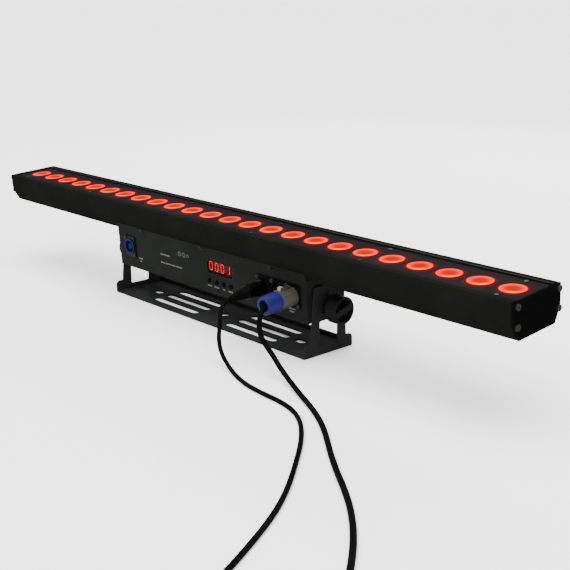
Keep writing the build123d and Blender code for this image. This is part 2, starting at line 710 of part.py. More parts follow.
def tilt_knob(side):
    """A hand knob: a hub, a thick disc and a grip bar between two D-shaped hollows."""
    start = YOKE_HALF + KNOB_WASHER + RUNNING_GAP
    place = toward("+x" if side > 0 else "-x", side * start, 0, PIVOT_HEIGHT)
    hub_length = KNOB_FACE - start
    disc = rod(KNOB_R, KNOB_THICK, Pos(0, 0, hub_length))
    disc = fillet(disc.edges().filter_by(GeomType.CIRCLE), 1.2)
    top = hub_length + KNOB_THICK
    hollow = rod(KNOB_R - 3.0, 10, Pos(0, 0, top - 9))
    hollow -= Pos(0, 0, top - 5) * Box(2 * KNOB_R, 8.0, 12)
    knob = rod(HUB_R, hub_length, Pos(0, 0, 0)) + disc - hollow
    knob -= rod(STUD_R, hub_length + STUD_IN_KNOB, Pos(0, 0, 0))
    spin = 90 + KNOB_BAR_ANGLE if side > 0 else 90 - KNOB_BAR_ANGLE
    return place * Rot(0, 0, spin) * knob


def knob_stud(side):
    """The knob's threaded stud, from inside the knob to inside the box's end."""
    place = toward("-x" if side > 0 else "+x", side * (KNOB_FACE + STUD_IN_KNOB), 0, PIVOT_HEIGHT)
    return chamfer(rod(STUD_R, 32, place).edges().sort_by(Axis.X)[0 if side > 0 else -1], 0.6)


# --- plugs in the sockets ----------------------------------------------------------------------
def ring_grooves(radius, places, width, depth):
    """Cutters for grooves round a rod along Z."""
    return [rod(radius + 1, width, Pos(0, 0, z)) - rod(radius - depth, width, Pos(0, 0, z)) for z in places]


def dmx_shell(place):
    """A round plug body with grip grooves, which runs back from the place along its Z axis."""
    shape = rod(DMX_PLUG_R, PLUG_FACE - DMX_BODY_END, place)
    shape = fillet(shape.edges().filter_by(GeomType.CIRCLE), 0.6)
    for cutter in ring_grooves(DMX_PLUG_R, (12.0, 14.2, 16.4), 0.9, 0.5):
        shape -= place * cutter
    return shape


DMX_SEAT = toward("-y", DMX_IN_X, PLUG_FACE, SOCKET_Z)
POWER_SEAT = toward("-y", POWER_OUT_X, PLUG_FACE, SOCKET_Z)
LATCH_LOW = DMX_PLUG_R - 2.2
DMX_LATCH_SPAN = (3.0, 10.5)


def dmx_plug_shell():
    near, far = DMX_LATCH_SPAN
    pocket = block((DMX_IN_X - 3.2, PLUG_FACE - far - 0.2, SOCKET_Z + LATCH_LOW - 1.0),
                   (DMX_IN_X + 3.2, PLUG_FACE - near + 0.2, SOCKET_Z + DMX_PLUG_R + 2))
    shape = dmx_shell(DMX_SEAT) + rod(DMX_NOSE_R, NOSE_END - PLUG_FACE, DMX_SEAT * Rot(180, 0, 0))
    for dx, dy in contact_offsets():
        shape -= rod(PIN_R + 0.2, 20, DMX_SEAT * Pos(dx, dy, 6) * Rot(180, 0, 0))
    return shape - pocket


def dmx_plug_latch():
    near, far = DMX_LATCH_SPAN
    latch = block((DMX_IN_X - 3.0, PLUG_FACE - far, SOCKET_Z + LATCH_LOW),
                  (DMX_IN_X + 3.0, PLUG_FACE - near, SOCKET_Z + DMX_PLUG_R + 0.9))
    return fillet(latch.edges().filter_by(Axis.Z), 1.2)


def strain_boot(low_r, high_r, length, place):
    """A tapered rubber boot with rings cut into it."""
    boot = cone(low_r, high_r, length, place)
    for step in range(5):
        z = length * (0.35 + 0.12 * step)
        radius = low_r + (high_r - low_r) * z / length
        boot -= place * (rod(radius + 2, 1.2, Pos(0, 0, z)) - rod(radius - 0.7, 1.2, Pos(0, 0, z)))
    return boot


def dmx_plug_boot():
    seat = toward("-y", DMX_IN_X, DMX_BODY_END, SOCKET_Z) * Rot(DMX_BOOT_DROOP, 0, 0)
    boot = strain_boot(*DMX_BOOT_R, DMX_BOOT_LENGTH, seat)
    boot += rod(DMX_BOOT_R[0], 2, seat * Rot(180, 0, 0))
    wall = block((DMX_IN_X - 20, DMX_BODY_END, SOCKET_Z - 20),
                 (DMX_IN_X + 20, DMX_BODY_END + 20, SOCKET_Z + 20))
    return boot - wall


def power_body(place):
    """The grey body of a mains plug, with its nose; a flat pad on top carries the latch."""
    length = PLUG_FACE - POWER_GREY_END
    shape = rod(POWER_PLUG_R, length, place)
    shape = fillet(shape.edges().filter_by(GeomType.CIRCLE), 0.6)
    shape += rod(POWER_NOSE_R, NOSE_END - PLUG_FACE, place * Rot(180, 0, 0))
    shape += place * block((-6.5, 4.0, 0.8), (6.5, POWER_PLUG_R + 0.1, length - 0.8))
    return shape


def power_bushing(place):
    """The blue bushing behind the body: ribbed round its outside, with a deep mouth for the cable."""
    length = POWER_GREY_END - POWER_BLUE_END
    shape = cone(POWER_BLUE_R, POWER_MOUTH_R, length, place)
    shape = fillet(shape.edges().filter_by(GeomType.CIRCLE), 1.2)
    for angle in range(0, 360, 30):
        rib = Rot(0, 0, angle) * Pos(POWER_BLUE_R + 0.5, 0, length / 2) * Box(2.2, 2.6, length - 8)
        shape -= place * rib
    return shape - rod(POWER_BORE_R, POWER_BORE_DEPTH + 1, place * Pos(0, 0, length - POWER_BORE_DEPTH))


def power_latch(place):
    """A slider on the plug's flat pad, with a raised thumb tab at its back."""
    floor = POWER_PLUG_R + 0.15
    slide = block((-3.6, floor, 3.6), (3.6, floor + 2.2, 21.0))
    slide += block((-3.6, floor, 16.6), (3.6, floor + 4.4, 21.0))
    slide = fillet(slide.edges().filter_by(Axis.Y), 0.9)
    return place * slide


# --- free leads --------------------------------------------------------------------------------
def corner_radii(points):
    """The radius at each corner: 0.45 of the shorter run, over the tangent of half the turn."""
    spots = [Vector(*p) for p in points]
    radii = []
    for a, b, c in zip(spots, spots[1:], spots[2:]):
        turn = math.radians((b - a).get_angle(c - b))
        radii.append(0.45 * min((b - a).length, (c - b).length) / math.tan(turn / 2))
    return radii


def tube(points, diameter, radii):
    """A round tube along straight runs joined by tangent arcs."""
    path = FilletPolyline(*points, radius=radii)
    section = Plane(origin=path @ 0, z_dir=path % 0) * Circle(diameter / 2)
    return sweep(section, path=path)


def free_tube(name, points, diameter):
    """A lead's tube, with its radii and its volume against its section times its length."""
    radii = corner_radii(points)
    shape = tube(points, diameter, radii)
    length = FilletPolyline(*points, radius=radii).length
    share = shape.volume / (math.pi * diameter ** 2 / 4 * length)
    print(name, "length", round(length, 1), "volume share", round(share, 5))
    tightest = min(radii) / diameter
    print(name, "radii", [round(r) for r in radii], "tightest in diameters", round(tightest, 1))
    return shape, length


def circle_point(coil, angle, radius):
    """A point on a circle round a coil's centre."""
    x, y = coil["centre"]
    return x + radius * math.cos(math.radians(angle)), y + radius * math.sin(math.radians(angle))


def tail_place(coil, diameter, along):
    """A place on the coil's tail, whose Z axis runs on towards the far plug."""
    radius = coil["mid"] + diameter / 2 * (coil["columns"] - 1)
    x, y = circle_point(coil, coil["tail"], radius)
    return Pos(x, y, coil["tail_z"]) * Rot(0, 0, coil["tail"] + 90) * Rot(0, 90, 0) * Pos(0, 0, along)


def coil_tie(coil, diameter):
    """A flat strap round the coil's turns."""
    half = diameter * coil["columns"] / 2
    height = diameter * coil["layers"]
    mid, thick, width = coil["mid"], TIE_THICK, TIE_WIDTH / 2
    strap = block((mid - half - thick, -width, 0), (mid + half + thick, width, height + thick))
    strap -= block((mid - half, -width - 1, thick), (mid + half, width + 1, height))
    x, y = coil["centre"]
    return Pos(x, y, 0) * Rot(0, 0, coil["tie"]) * strap


def coil_solid(name, coil, diameter, route, route_length):
    """The outer shape of a coil of a lead: a ring of stacked turns with a short straight tail."""
    half = diameter * coil["columns"] / 2
    height = diameter * coil["layers"]
    x, y = coil["centre"]
    ring = rod(coil["mid"] + half, height, Pos(x, y, 0))
    ring -= rod(coil["mid"] - half, height + 2, Pos(x, y, -1))
    ring = fillet(ring.edges().filter_by(GeomType.CIRCLE), diameter * 0.3)
    ring += rod(diameter / 2, coil["tail_length"], tail_place(coil, diameter, 0))
    last, end = Vector(*route[-2]), Vector(*route[-1])
    run = Plane(origin=end, z_dir=last - end)
    ring -= extrude(run * Circle(diameter / 2 + 0.02), amount=30)
    turns = (LEAD_LENGTH - route_length - coil["tail_length"]) / (2 * math.pi * coil["mid"])
    across = 2 * coil["mid"] / diameter
    print(name, "coil of", round(turns, 2), "turns,", round(across, 1), "diameters across")
    return ring - coil_tie(coil, diameter)


def far_dmx_plug():
    """The plug on the DMX lead's far end: its boot starts at the end of the coil's tail."""
    boot_place = tail_place(DMX_COIL, DMX_DIA, DMX_COIL["tail_length"])
    boot_seat = boot_place * Pos(0, 0, FAR_BOOT_LENGTH) * Rot(180, 0, 0)
    boot = strain_boot(*DMX_BOOT_R, FAR_BOOT_LENGTH, boot_seat)
    body_length = PLUG_FACE - DMX_BODY_END
    nose_place = boot_place * Pos(0, 0, FAR_BOOT_LENGTH + body_length)
    shell = dmx_shell(nose_place * Rot(180, 0, 0))
    shell += rod(DMX_PLUG_R - 0.3, 13, nose_place) - rod(DMX_NOSE_R, 14, nose_place * Pos(0, 0, 0.5))
    for dx, dy in contact_offsets():
        shell += rod(PIN_R, 11, nose_place * Pos(dx, dy, 0))
    return shell, boot


def far_power_plug():
    """The plug on the mains lead's far end, lying on its bushing, with the cable low in its mouth."""
    length = POWER_GREY_END - POWER_BLUE_END
    lift = FAR_POWER_Z - POWER_COIL["tail_z"]
    along = POWER_COIL["tail_length"] - POWER_BORE_DEPTH
    start = Pos(0, 0, lift) * tail_place(POWER_COIL, POWER_DIA, along)
    seat = start * Pos(0, 0, length) * Rot(180, 0, 0)
    body_length = PLUG_FACE - POWER_GREY_END
    grey_end = start * Pos(0, 0, length + body_length) * Rot(180, 0, 0)
    body = rod(POWER_PLUG_R, body_length, grey_end)
    body = fillet(body.edges().filter_by(GeomType.CIRCLE), 0.6)
    body += rod(POWER_NOSE_R, 13, grey_end * Rot(180, 0, 0))
    return body, power_bushing(seat)


# --- the whole part ----------------------------------------------------------------------------
def save_batten():
    save_head("housing_extrusion", housing_extrusion())
    save_head("lens_plate", lens_plate())
    plate_screws = [pan_screw(place, 2.25, 1.3, 1.25, 6.8) for place in plate_screw_places()]
    save_head("lens_plate_screws", group(plate_screws))
    save_head("lens_optics", group(lens_optic(x) for x in led_places()))
    save_head("lens_holders", group(lens_holder(x) for x in led_places()))
    save_head("led_boards", group(led_board(i) for i in range(BOARD_COUNT)))
    save_head("led_board_links", group(board_link(x) for x in (-246.0, 0.0, 246.0)))
    save_head("led_emitters", group(led_emitter(x) for x in led_places()))
    save_head("end_cap_left", end_cap(-1))
    save_head("end_cap_right", end_cap(1))
    save_head("end_gaskets", group([end_gasket(-1), end_gasket(1)]))
    save_head("end_cap_screws", end_cap_screws())


def save_control_box():
    save_head("control_box_shell", box_shell())
    save_head("rear_cover", rear_cover())
    save_head("rear_cover_screws", rear_cover_screws())
    save_head("box_mount_screws", box_mount_screws())
    save_head("display_window", display_window())
    save_head("display_module", display_module())
    for index, x in enumerate(BUTTON_X):
        save_head("button_" + str(index + 1), button(x))
    save_head("button_switches", group(button_switch(x) for x in BUTTON_X))
    save_head("control_board", control_board())
    save_head("board_standoffs", board_standoffs())
    save_head("power_supply", power_supply())
    save_head("wire_grommets", group(wire_grommet(x, y) for x, y in LEAD_PLACES))
    save_head("led_supply_leads", group(led_lead(x, y) for x, y in LEAD_PLACES))
    save_head("mains_leads", mains_leads())
    save_head("power_in_socket", power_in_socket())
    save_head("dmx_in_socket", dmx_in_socket())
    save_head("dmx_out_socket", dmx_out_socket())
    save_head("dmx_release_tab", dmx_release_tab())
    save_head("power_out_socket", power_out_socket())
    save_head("socket_screws", socket_screws())


def save_yoke():
    save_head("pivot_inserts", group([pivot_insert(-1), pivot_insert(1)]))
    save_head("friction_washers", group([friction_washer(-1), friction_washer(1)]))
    save("yoke_bracket", yoke_bracket())
    save("index_screws", group([index_screw(-1), index_screw(1)]))
    save("knob_washers", group([knob_washer(-1), knob_washer(1)]))
    for name, side in (("left", -1), ("right", 1)):
        save("tilt_knob_" + name, tilt_knob(side))
        save("knob_stud_" + name, knob_stud(side))


def save_leads():
    save_head("dmx_plug_shell", dmx_plug_shell())
    save_head("dmx_plug_latch", dmx_plug_latch())
    save_head("dmx_plug_boot", dmx_plug_boot())
    save_head("power_plug_body", power_body(POWER_SEAT))
    save_head("power_plug_bushing", power_bushing(toward("-y", POWER_OUT_X, POWER_GREY_END, SOCKET_Z)))
    save_head("power_plug_latch", power_latch(POWER_SEAT))
    dmx_cord, dmx_length = free_tube("dmx", DMX_ROUTE, DMX_DIA)
    power_cord, power_length = free_tube("power", POWER_ROUTE, POWER_DIA)
    save("dmx_cord", dmx_cord)
    save("power_cord", power_cord)
    save("dmx_coil", coil_solid("dmx", DMX_COIL, DMX_DIA, DMX_ROUTE, dmx_length))
    save("power_coil", coil_solid("power", POWER_COIL, POWER_DIA, POWER_ROUTE, power_length))
    save("coil_ties", group([coil_tie(DMX_COIL, DMX_DIA), coil_tie(POWER_COIL, POWER_DIA)]))
    shell, boot = far_dmx_plug()
    save("dmx_far_plug", shell)
    save("dmx_far_boot", boot)
    body, bushing = far_power_plug()
    save("power_far_plug", body)
    save("power_far_bushing", bushing)


save_batten()
save_control_box()
save_yoke()
save_leads()
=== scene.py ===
import json
import math

import bmesh
import bpy
from mathutils import Matrix, Vector


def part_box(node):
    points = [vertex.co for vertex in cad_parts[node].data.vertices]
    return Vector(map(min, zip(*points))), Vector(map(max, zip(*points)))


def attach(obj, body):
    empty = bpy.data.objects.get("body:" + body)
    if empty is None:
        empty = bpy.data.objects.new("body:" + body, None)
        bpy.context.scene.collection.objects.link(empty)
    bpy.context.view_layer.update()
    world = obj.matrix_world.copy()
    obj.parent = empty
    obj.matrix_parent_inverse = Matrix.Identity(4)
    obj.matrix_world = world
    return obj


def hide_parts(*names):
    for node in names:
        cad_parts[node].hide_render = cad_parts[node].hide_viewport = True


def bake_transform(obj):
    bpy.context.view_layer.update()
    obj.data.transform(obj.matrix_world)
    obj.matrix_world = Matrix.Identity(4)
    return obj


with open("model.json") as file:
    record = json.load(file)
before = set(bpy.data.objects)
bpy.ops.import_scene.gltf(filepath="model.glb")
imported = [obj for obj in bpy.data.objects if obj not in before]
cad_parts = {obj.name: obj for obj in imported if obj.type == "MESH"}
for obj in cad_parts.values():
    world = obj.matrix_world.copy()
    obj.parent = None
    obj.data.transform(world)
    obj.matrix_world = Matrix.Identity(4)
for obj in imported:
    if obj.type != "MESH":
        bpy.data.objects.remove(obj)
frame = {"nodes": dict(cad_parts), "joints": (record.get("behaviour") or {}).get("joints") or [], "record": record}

MM = 0.001
nodes, record = frame["nodes"], frame["record"]
joints = {joint["name"]: joint for joint in frame["joints"]}
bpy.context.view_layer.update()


# --- the head's own frame ----------------------------------------------------------------------
# The head leans about X. Its frame has X along the batten, Y back, and Z up from the lens plate's top.
LENS_COUNT = 24
LENS_PITCH = 41.0
PLATE_THICK = 3.0
press_axis = joints["button_1_press"]["axis"]
LEAN = math.atan2(press_axis[2], press_axis[1])
TURN = Matrix.Rotation(LEAN, 3, "X")
plate_low, plate_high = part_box("lens_plate")
HEAD_ORIGIN = (plate_low + plate_high) / 2 + TURN @ Vector((0, 0, PLATE_THICK / 2 * MM))


def in_head(x, y, z):
    """A point given in the head's frame in millimetres, in the row frame in metres."""
    return HEAD_ORIGIN + TURN @ Vector((x * MM, y * MM, z * MM))


# Places in the head's frame that finishes and the back rail's painted highlight change at, and sizes of the
# figures in the display, all in mm.
RAIL_INNER = 32.5
# Half-width of the back rail's painted highlight line, and the height it starts from.
HIGHLIGHT_HALF, HIGHLIGHT_FROM = 0.45, 2.3
SOCKET_HEIGHT = -62.5
FLANGE_FACE = -37.2
INLET_BORE = 9.4
LATCH_STEP = -53.6
LATCH_X = 177.0
THUMB_HALF = 2.7
DISPLAY_CENTRE = (31.2, -57.3)
DISPLAY_FACE = (-32.45, -32.25)
DIGIT_STEP = 12.0
DIGIT_WIDTH = 5.6
DIGIT_HEIGHT = 11.6
DIGIT_SHEAR = 0.04
SEGMENT_HALF = 0.45
# Lit segments of each digit: a is the top, then clockwise to f, and g is the middle.
SHOWN = ("abcdef", "abcdef", "abcdef", "bc")


# --- camera ------------------------------------------------------------------------------------
CAMERA_PLACE = Vector((1.0424, -0.8509, 0.4289))
CAMERA_TARGET = Vector((0.19578, -0.06707, 0.09897))
LENS_LENGTH = 64.0


def make_camera():
    data = bpy.data.cameras.new("camera")
    data.lens = LENS_LENGTH
    data.sensor_width = 36.0
    data.clip_start, data.clip_end = 0.05, 400.0
    camera = bpy.data.objects.new("camera", data)
    bpy.context.scene.collection.objects.link(camera)
    camera.location = CAMERA_PLACE
    camera.rotation_euler = (CAMERA_TARGET - CAMERA_PLACE).to_track_quat("-Z", "Y").to_euler()
    bpy.context.scene.camera = camera


# --- material nodes ----------------------------------------------------------------------------
class Shader:
    """A node material with a Principled shader, and short ways to add the nodes that drive it."""

    def __init__(self, name, colour, roughness, metallic=0.0, specular=0.5, coat=0.0, sheen=0.0):
        self.material = bpy.data.materials.new(name)
        self.material.use_nodes = True
        self.tree = self.material.node_tree
        self.surface = next(n for n in self.tree.nodes if n.type == "BSDF_PRINCIPLED")
        self.set("Base Color", (*colour, 1.0))
        self.set("Roughness", roughness)
        self.set("Metallic", metallic)
        self.set("Specular IOR Level", specular)
        self.set("Coat Weight", coat)
        self.set("Sheen Weight", sheen)
        self.place = self.add("ShaderNodeTexCoord").outputs["Object"]

    def add(self, kind, **settings):
        node = self.tree.nodes.new(kind)
        for key, value in settings.items():
            setattr(node, key, value)
        return node

    def join(self, source, target):
        self.tree.links.new(source, target)

    def set(self, socket, value):
        self.surface.inputs[socket].default_value = value

    def math(self, operation, first, second=None, third=None):
        """A math node; each value is a number or a socket."""
        node = self.add("ShaderNodeMath", operation=operation)
        for index, value in enumerate((first, second, third)):
            if value is None:
                continue
            if isinstance(value, (int, float)):
                node.inputs[index].default_value = value
            else:
                self.join(value, node.inputs[index])
        return node.outputs[0]

    def noise(self, scale, detail=3.0, place=None, stretch=None):
        """Noise with a scale in cells per metre; stretch slows it along some axes."""
        place = place or self.place
        if stretch:
            mapping = self.add("ShaderNodeMapping")
            mapping.inputs["Scale"].default_value = stretch
            self.join(place, mapping.inputs["Vector"])
            place = mapping.outputs["Vector"]
        node = self.add("ShaderNodeTexNoise")
        node.inputs["Scale"].default_value = scale
        node.inputs["Detail"].default_value = detail
        self.join(place, node.inputs["Vector"])
        return node.outputs["Fac"]

    def spread(self, value, low, high):
        """A 0 to 1 value moved into the range from low to high."""
        node = self.add("ShaderNodeMapRange")
        node.inputs["From Min"].default_value = 0.3
        node.inputs["From Max"].default_value = 0.7
        node.inputs["To Min"].default_value = low
        node.inputs["To Max"].default_value = high
        self.join(value, node.inputs["Value"])
        return node.outputs["Result"]

    def ramp(self, value, stops):
        """Colours at positions from 0 to 1."""
        node = self.add("ShaderNodeValToRGB")
        elements = node.color_ramp.elements
        while len(elements) < len(stops):
            elements.new(0.5)
        for element, (position, colour) in zip(elements, stops):
            element.position = position
            element.color = (*colour, 1.0)
        self.join(value, node.inputs["Fac"])
        return node.outputs["Color"]

    def mix(self, share, first, second):
        """One colour turning into another; each is a colour or a socket."""
        node = self.add("ShaderNodeMix", data_type="RGBA")
        self.join(share, node.inputs["Factor"])
        for value, name in ((first, "A_Color"), (second, "B_Color")):
            socket = next(s for s in node.inputs if s.identifier == name)
            if isinstance(value, tuple):
                socket.default_value = (*value, 1.0)
            else:
                self.join(value, socket)
        return next(s for s in node.outputs if s.identifier == "Result_Color")

    def bump(self, height, depth, distance=0.001):
        node = self.add("ShaderNodeBump")
        node.inputs["Strength"].default_value = depth
        node.inputs["Distance"].default_value = distance
        self.join(height, node.inputs["Height"])
        self.join(node.outputs["Normal"], self.surface.inputs["Normal"])

    def split(self, vector):
        node = self.add("ShaderNodeSeparateXYZ")
        self.join(vector, node.inputs[0])
        return node.outputs["X"], node.outputs["Y"], node.outputs["Z"]

    def head_place(self):
        """The point's place in the head's own frame, in millimetres."""
        mapping = self.add("ShaderNodeMapping")
        mapping.inputs["Rotation"].default_value = (-LEAN, 0, 0)
        mapping.inputs["Scale"].default_value = (1000, 1000, 1000)
        mapping.inputs["Location"].default_value = -(TURN.inverted() @ HEAD_ORIGIN) * 1000
        self.join(self.place, mapping.inputs["Vector"])
        return mapping.outputs["Vector"]

    def colour(self, socket):
        self.join(socket, self.surface.inputs["Base Color"])

    def roughness(self, socket):
        self.join(socket, self.surface.inputs["Roughness"])


def shaded(colour, factor):
    return tuple(channel * factor for channel in colour)


def coated(name, colour, roughness, grain=900.0, depth=0.12, specular=0.003, metallic=0.0, coat=0.0):
    """Powder coat, anodising or moulded plastic: a fine grain, faint blotches and uneven gloss."""
    shader = Shader(name, colour, roughness, metallic, specular, coat)
    blotch = shader.spread(shader.noise(14.0, 4.0), 0.0, 1.0)
    shader.colour(shader.mix(blotch, shaded(colour, 0.82), shaded(colour, 1.2)))
    shader.roughness(shader.spread(shader.noise(60.0, 5.0), roughness * 0.85, min(1.0, roughness * 1.15)))
    shader.bump(shader.noise(grain, 2.0), depth, 0.0004)
    return shader.material


def rail_painted_highlight():
    """The housing's anodising, with a painted highlight: a lighter line along the back rail's inner edge."""
    colour = (0.0056, 0.0060, 0.0051)
    shader = Shader("rail_painted_highlight", colour, 0.42, specular=0.0)
    blotch = shader.spread(shader.noise(14.0, 4.0), 0.0, 1.0)
    plain = shader.mix(blotch, shaded(colour, 0.82), shaded(colour, 1.2))
    _, y, z = shader.split(shader.head_place())
    # Painted highlight: a narrow band along the back rail's inner edge, high on its wall, is coloured lighter.
    inward = shader.math("ABSOLUTE", shader.math("SUBTRACT", y, RAIL_INNER))
    narrow = shader.math("LESS_THAN", inward, HIGHLIGHT_HALF)
    edge = shader.math("MULTIPLY", narrow, shader.math("GREATER_THAN", z, HIGHLIGHT_FROM))
    shader.colour(shader.mix(edge, plain, (0.036, 0.036, 0.033)))
    shader.bump(shader.noise(1300.0, 2.0), 0.06, 0.0004)
    return shader.material


def brushed(name, colour, roughness, stretch, metallic=1.0):
    """Metal with fine lines drawn along one axis."""
    shader = Shader(name, colour, roughness, metallic)
    lines = shader.noise(1500.0, 3.0, stretch=stretch)
    shader.colour(shader.mix(shader.spread(lines, 0.0, 1.0), shaded(colour, 0.85), shaded(colour, 1.1)))
    shader.roughness(shader.spread(lines, roughness * 0.8, roughness * 1.25))
    shader.bump(lines, 0.15, 0.0003)
    return shader.material


LENS_R = 16.3
# The warm crescent on each lens is a painted highlight: its radius and half-width, and the direction, to the front
# right, that it faces.
CRESCENT_R, CRESCENT_HALF = 11.4, 3.2
CRESCENT_TURN = (0.6, 0.8)


def lens_distance(shader):
    """How far a point is from the nearest lens's axis, and how far ahead of it to the front right, in mm."""
    x, y = shader.split(shader.head_place())[:2]
    half = LENS_COUNT // 2
    cell = shader.math("FLOOR", shader.math("DIVIDE", x, LENS_PITCH))
    cell = shader.math("MAXIMUM", shader.math("MINIMUM", cell, half - 1.0), float(-half))
    across = shader.math("SUBTRACT", x, shader.math("MULTIPLY", shader.math("ADD", cell, 0.5), LENS_PITCH))
    squares = shader.math("ADD", shader.math("MULTIPLY", across, across), shader.math("MULTIPLY", y, y))
    to_right, to_front = CRESCENT_TURN
    ahead = shader.math(
        "SUBTRACT", shader.math("MULTIPLY", across, to_right), shader.math("MULTIPLY", y, to_front))
    return shader.math("SQRT", squares), ahead


GLOW = {
    "edge": (0.36, 0.006, 0.004),
    "rim": (2.5, 0.12, 0.01),
    "ring": (1.6, 0.012, 0.0),
    "core": (1.05, 0.0, 0.0),
    # The crescent is a painted highlight; the other colours are the lenses' own glow.
    "crescent": (2.5, 0.56, 0.0),
}


def lit_lens():
    """A lit collimator seen from above: a red core and a paler rim, and a warm crescent along its front that is a
    painted highlight.
    """
    shader = Shader("lit_lens", (0.02, 0.001, 0.001), 0.3, specular=0.0)
    distance, front = lens_distance(shader)
    share = shader.math("DIVIDE", distance, LENS_R)
    rings = shader.ramp(share, [
        (0.0, GLOW["core"]), (0.36, GLOW["core"]), (0.56, GLOW["ring"]), (0.76, GLOW["rim"]),
        (0.86, GLOW["rim"]), (0.94, GLOW["edge"]), (1.0, (0.12, 0.0, 0.0)),
    ])
    # Painted highlight: a warm crescent on a ring round each lens's axis, on the side facing the front right.
    offset = shader.math("DIVIDE", shader.math("SUBTRACT", distance, CRESCENT_R), CRESCENT_HALF)
    near = shader.math("SUBTRACT", 1.0, shader.math("ABSOLUTE", offset))
    turned = shader.math("SUBTRACT", shader.math("DIVIDE", front, distance), 0.70)
    forward = shader.math("DIVIDE", turned, 0.3)
    near, forward = shader.math("MAXIMUM", near, 0.0), shader.math("MAXIMUM", forward, 0.0)
    crescent = shader.math("MULTIPLY", near, forward)
    crescent = shader.math("MINIMUM", shader.math("MULTIPLY", crescent, 1.5), 1.0)
    shader.join(shader.mix(crescent, rings, GLOW["crescent"]), shader.surface.inputs["Emission Color"])
    shader.set("Emission Strength", 1.0)
    return shader.material


def lit_plate():
    """Black anodised plate with a dim red spill round each lens."""
    colour = (0.0098, 0.0072, 0.0086)
    shader = Shader("lit_plate", colour, 0.55, specular=0.0)
    blotch = shader.spread(shader.noise(11.0, 4.0), 0.0, 1.0)
    shader.colour(shader.mix(blotch, shaded(colour, 0.85), shaded(colour, 1.2)))
    shader.roughness(shader.spread(shader.noise(70.0, 4.0), 0.36, 0.5))
    shader.bump(shader.noise(1100.0, 2.0), 0.08, 0.0003)
    distance = lens_distance(shader)[0]
    spill = shader.ramp(shader.math("DIVIDE", distance, 30.0), [
        (0.0, (0.3, 0.0, 0.0)), (0.545, (0.22, 0.002, 0.001)), (0.60, (0.035, 0.001, 0.001)),
        (0.72, (0.008, 0.001, 0.002)), (1.0, (0.001, 0.0, 0.0005)),
    ])
    shader.join(spill, shader.surface.inputs["Emission Color"])
    shader.set("Emission Strength", 1.0)
    return shader.material


def glowing(name, colour, strength):
    """A lit segment, a little uneven."""
    shader = Shader(name, shaded(colour, 0.3), 0.5)
    uneven = shader.spread(shader.noise(400.0, 2.0), 0.0, 1.0)
    shader.join(shader.mix(uneven, shaded(colour, 0.85), colour), shader.surface.inputs["Emission Color"])
    shader.set("Emission Strength", strength)
    return shader.material


def clear_pane():
    """The display's tinted pane: thin, glossy and mostly see-through."""
    shader = Shader("clear_pane", (0.006, 0.002, 0.002), 0.12, specular=0.02)
    shader.roughness(shader.spread(shader.noise(120.0, 3.0), 0.06, 0.14))
    shader.set("Alpha", 0.25)
    return shader.material


def rubber(name, colour, roughness=0.62):
    """Cable sheath or moulded rubber: matt, with a soft sheen and a fine grain."""
    shader = Shader(name, colour, roughness, specular=0.006)
    patches = shader.spread(shader.noise(40.0, 4.0), 0.0, 1.0)
    shader.colour(shader.mix(patches, shaded(colour, 0.8), shaded(colour, 1.25)))
    shader.roughness(shader.spread(shader.noise(150.0, 3.0), roughness * 0.85, roughness * 1.1))
    shader.bump(shader.noise(1600.0, 2.0), 0.1, 0.0003)
    return shader.material


def display_face():
    """The display's black face, lit dull red round its figures."""
    shader = Shader("display_face", (0.004, 0.001, 0.001), 0.5, specular=0.1)
    x, _, z = shader.split(shader.head_place())
    across = shader.math("ABSOLUTE", shader.math("SUBTRACT", x, DISPLAY_CENTRE[0]))
    above = shader.math("ABSOLUTE", shader.math("SUBTRACT", z, DISPLAY_CENTRE[1]))
    side = shader.math("DIVIDE", across, DIGIT_STEP * 2 + 2.0)
    rise = shader.math("DIVIDE", above, DIGIT_HEIGHT / 2 + 2.6)
    outward = shader.math("MAXIMUM", side, rise)
    uneven = shader.math("MULTIPLY", shader.math("SUBTRACT", shader.noise(300.0, 2.0), 0.5), 0.2)
    halo = shader.ramp(shader.math("ADD", outward, uneven), [
        (0.0, (0.17, 0.002, 0.002)), (0.72, (0.12, 0.002, 0.001)),
        (0.95, (0.03, 0.0, 0.0)), (1.0, (0.004, 0.0, 0.0)),
    ])
    shader.join(halo, shader.surface.inputs["Emission Color"])
    shader.set("Emission Strength", 1.0)
    return shader.material


def two_tone_latch():
    """The mains plug's slider: a cream thumb tab at its back and a dark brown slide before it."""
    cream, brown = (0.20, 0.195, 0.135), (0.018, 0.013, 0.009)
    shader = Shader("two_tone_latch", cream, 0.4, specular=0.3)
    x, y, _ = shader.split(shader.head_place())
    sideways = shader.math("ABSOLUTE", shader.math("SUBTRACT", x, LATCH_X))
    aside = shader.math("GREATER_THAN", sideways, THUMB_HALF)
    forward = shader.math("MAXIMUM", shader.math("GREATER_THAN", y, LATCH_STEP), aside)
    patches = shader.spread(shader.noise(300.0, 4.0), 0.0, 1.0)
    worn = shader.mix(patches, shaded(cream, 0.8), shaded(cream, 1.1))
    shader.colour(shader.mix(forward, worn, brown))
    shader.roughness(shader.spread(shader.noise(150.0, 4.0), 0.35, 0.5))
    return shader.material


